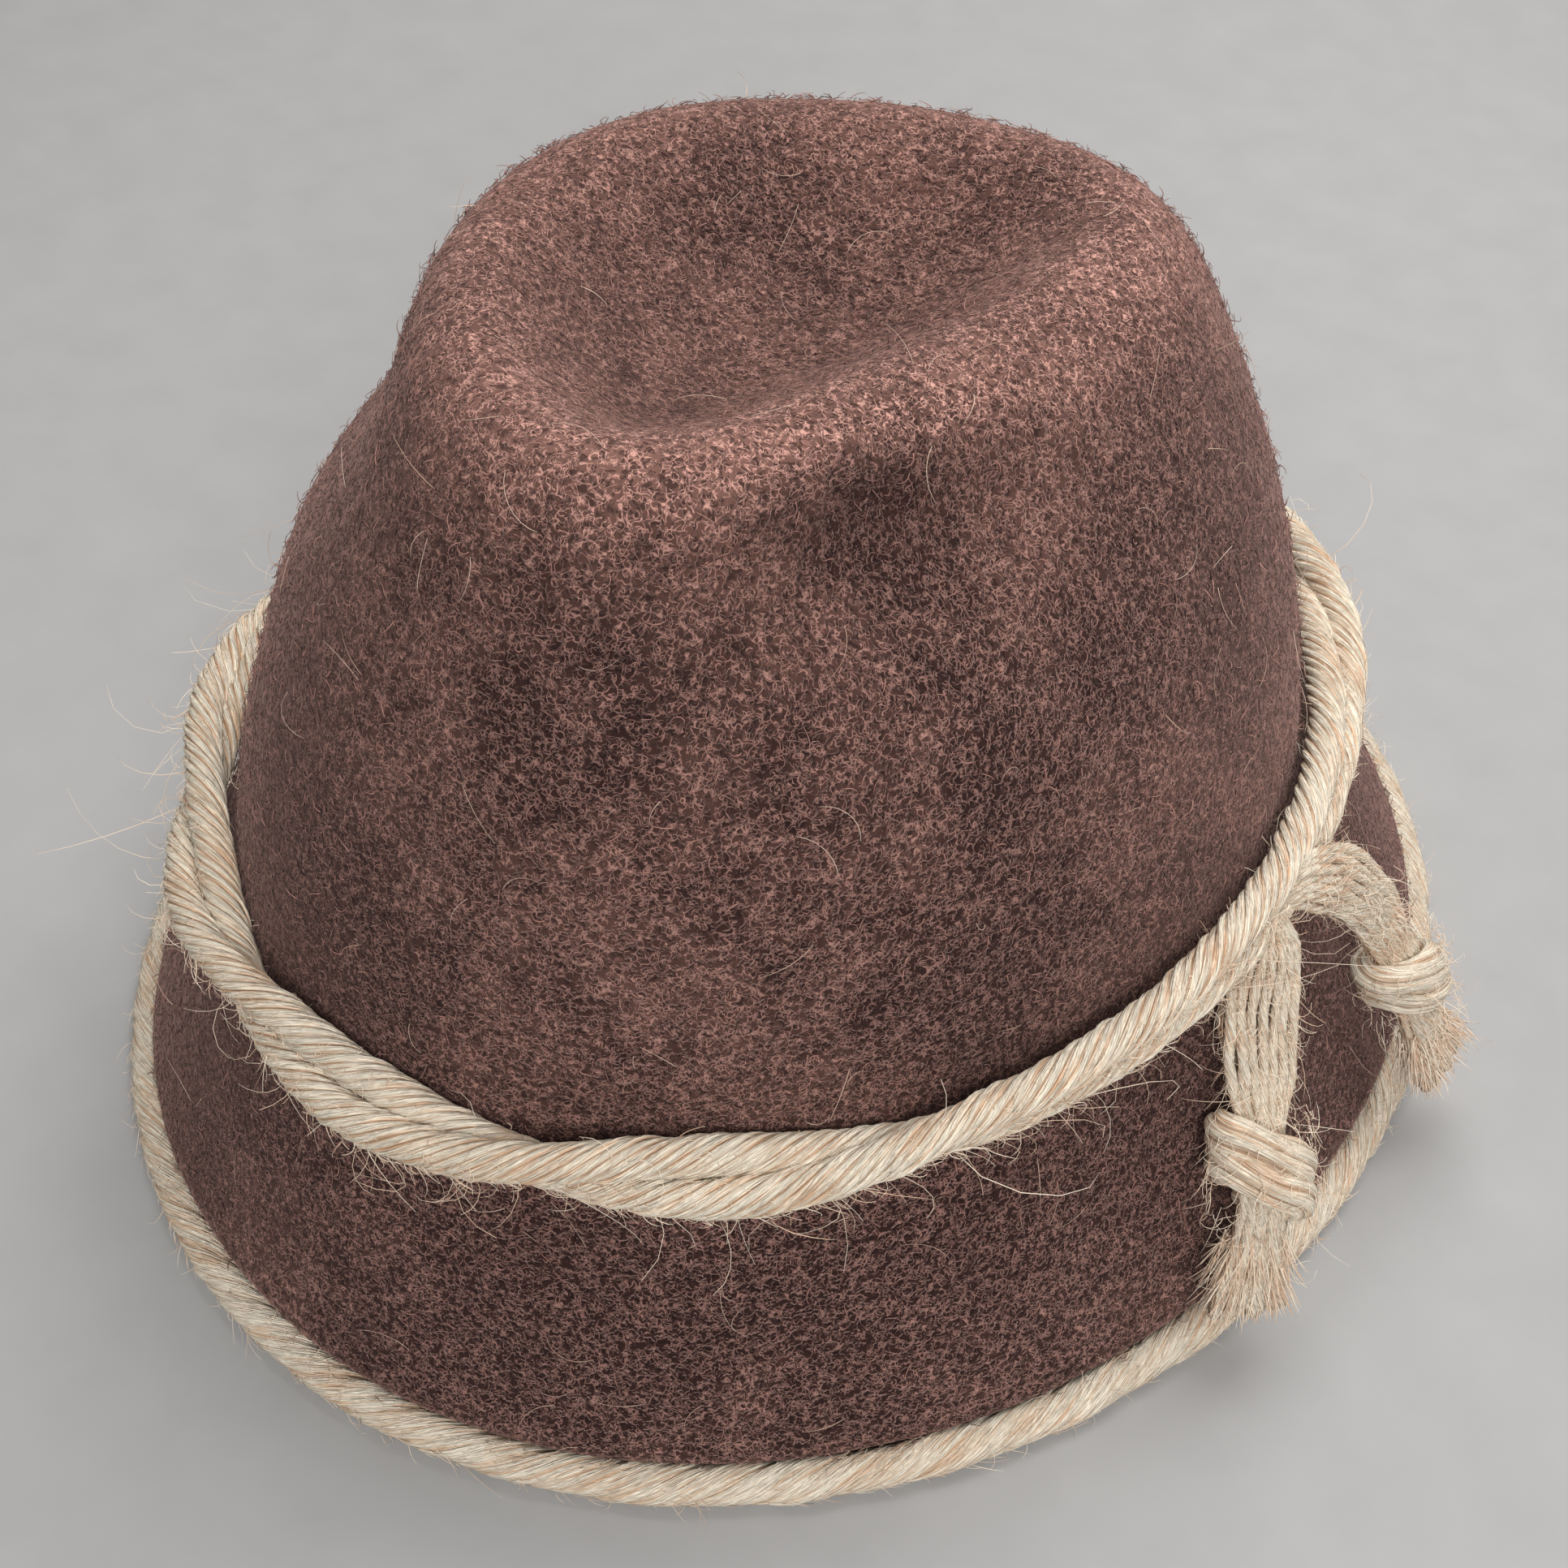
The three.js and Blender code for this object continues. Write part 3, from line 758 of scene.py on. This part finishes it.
turn = np.arange(BAND_STATIONS) * 4 * math.pi / BAND_STATIONS + math.pi
middles, away = band_middle(turn)
shares, crests = laid_yarns(BAND_STATIONS, BAND_SIDES, BAND_YARNS, 0.17, 3)
bm = bmesh.new()
upright = np.tile(UPWARDS, (BAND_STATIONS, 1))
radii = STRAND_RADIUS * MM * 1.04 * shares
strand(bm, middles, away, upright, radii, crests, turns=BAND_YARN_TURNS, closed=True)
band = finished(bm, "rope_band_strands", jute)
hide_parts("band_rope")

# Cord round the brim's edge. A single three-ply jute cord is sewn along the cut edge of the felt,
# and the hat rests on it.
EDGE_CORD = {"half_length": 133.8, "half_width": 117.8, "radius": 3.5}
EDGE_STATIONS = 840
EDGE_PLIES = 3
EDGE_YARNS = 9
EDGE_SIDES = EDGE_YARNS * 4
EDGE_TURNS = 21


def edge_middle(turn):
    """The middle of the cord at angles round the brim."""
    x, y = EDGE_CORD["half_width"] * np.sin(turn), -EDGE_CORD["half_length"] * np.cos(turn)
    return np.stack([x, y, 0 * turn + EDGE_CORD["radius"]], axis=-1) * MM


turn = np.arange(EDGE_STATIONS) * 2 * math.pi / EDGE_STATIONS + math.pi
edge_away = unit(np.stack([
    np.sin(turn) * EDGE_CORD["half_length"], -np.cos(turn) * EDGE_CORD["half_width"], 0 * turn,
], axis=-1))
shares, crests = laid_yarns(EDGE_STATIONS, EDGE_SIDES, EDGE_YARNS, 0.07, 9)
plies, ply_crests = laid_yarns(EDGE_STATIONS, EDGE_SIDES, EDGE_PLIES, 0.12, 8)
bm = bmesh.new()
upright = np.tile(UPWARDS, (EDGE_STATIONS, 1))
# Its crests set the painted highlight on the tops of its yarns and plies and the painted shade between
# them.
strand(
    bm, edge_middle(turn), edge_away, upright, EDGE_CORD["radius"] * 1.04 * MM * shares * plies,
    np.minimum(0.55 + 0.45 * crests, 0.4 + 0.6 * ply_crests), turns=EDGE_TURNS, closed=True,
)
edge_cord = finished(bm, "brim_edge_cord", jute)
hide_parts("brim_cord")

# Stray jute fibres. Both ropes are hairy: short fibres lie along their yarns, and long ones hang
# off the band's lower side over the brim.
BAND_HAIRS = 5200
EDGE_HAIRS = 2200
EDGE_HAIR_ROOT = 3.3 * MM
chance = np.random.default_rng(21)
turn = chance.uniform(0, 4 * math.pi, BAND_HAIRS)
middle, away = band_middle(turn)
ahead = unit(band_middle(turn + 0.01)[0] - middle)
around = chance.normal(-0.8, 1.1, BAND_HAIRS)[:, None]
normals = unit(away * np.cos(around) + UPWARDS * np.sin(around))
roots = middle + normals * STRAND_RADIUS * MM * 0.95
forwards = square_to(normals, ahead)
hanging = np.clip(0.4 - 0.6 * np.sin(around[:, 0]), 0.35, 1)
hanging = hanging * np.where(chance.uniform(0, 1, BAND_HAIRS) > 0.88, 2.9, 0.9)
band_hairs = fibres(
    "rope_band_hairs", roots, normals, forwards, chance.gamma(2.6, 2.1, BAND_HAIRS) * hanging * MM,
    radius=0.095 * MM, steps=6, lift=(0.45, 0.0), turn=4.2, spread=1.4, seed=31, material=jute_hair,
)
turn = chance.uniform(0, 2 * math.pi, EDGE_HAIRS)
away = unit(np.stack([np.sin(turn), -np.cos(turn), 0 * turn], axis=-1))
ahead = np.cross(UPWARDS, away)
around = chance.uniform(-0.5, 2.9, EDGE_HAIRS)[:, None]
normals = unit(away * np.cos(around) + UPWARDS * np.sin(around))
roots = edge_middle(turn) + normals * EDGE_HAIR_ROOT
edge_hairs = fibres(
    "brim_cord_hairs", roots, normals, ahead, chance.gamma(3.0, 1.1, EDGE_HAIRS) * MM,
    radius=0.075 * MM, steps=5, lift=(0.3, 0.05), turn=2.6, spread=1.0, seed=32, material=jute_hair,
)

# Floor and light. The hat stands on a plain pale floor under two big soft lights, one high behind
# it and one at its front left, and a pale room.
ROOM_COLOUR = (1, 0.99, 0.97, 1)
ROOM_STRENGTH = 0.22
LIGHT_COLOUR = (1, 0.98, 0.95)
LIGHT_AIM = Vector((0, 0, 0.05))
floor = bpy.data.objects.new("floor", bpy.data.meshes.new("floor"))
bm = bmesh.new()
bmesh.ops.create_grid(bm, x_segments=1, y_segments=1, size=4)
bm.to_mesh(floor.data)
bm.free()
floor_finish = Finish("floor", 0.9)
grain = floor_finish.noise(floor_finish.object_place(), 60, 3.0)
floor_finish.colour(floor_finish.blend(grain, tone(161, 161, 162), tone(171, 171, 172)))
floor.data.materials.append(floor_finish.material)
bpy.context.scene.collection.objects.link(floor)
bpy.context.scene.view_settings.view_transform = "Standard"
world = bpy.data.worlds.new("soft room")
world.use_nodes = True
world.node_tree.nodes["Background"].inputs["Color"].default_value = ROOM_COLOUR
world.node_tree.nodes["Background"].inputs["Strength"].default_value = ROOM_STRENGTH
bpy.context.scene.world = world


def soft_light(name, power, size, place):
    lamp = bpy.data.lights.new(name, "AREA")
    lamp.energy = power
    lamp.size = size
    lamp.color = LIGHT_COLOUR
    made = bpy.data.objects.new(name, lamp)
    made.location = place
    made.rotation_euler = (LIGHT_AIM - Vector(place)).to_track_quat("-Z", "Y").to_euler()
    bpy.context.scene.collection.objects.link(made)


soft_light("key_light", 8.4, 0.7, (-0.12, 0.4, 0.85))
soft_light("side_light", 10, 0.6, (0.72, -0.56, 0.78))
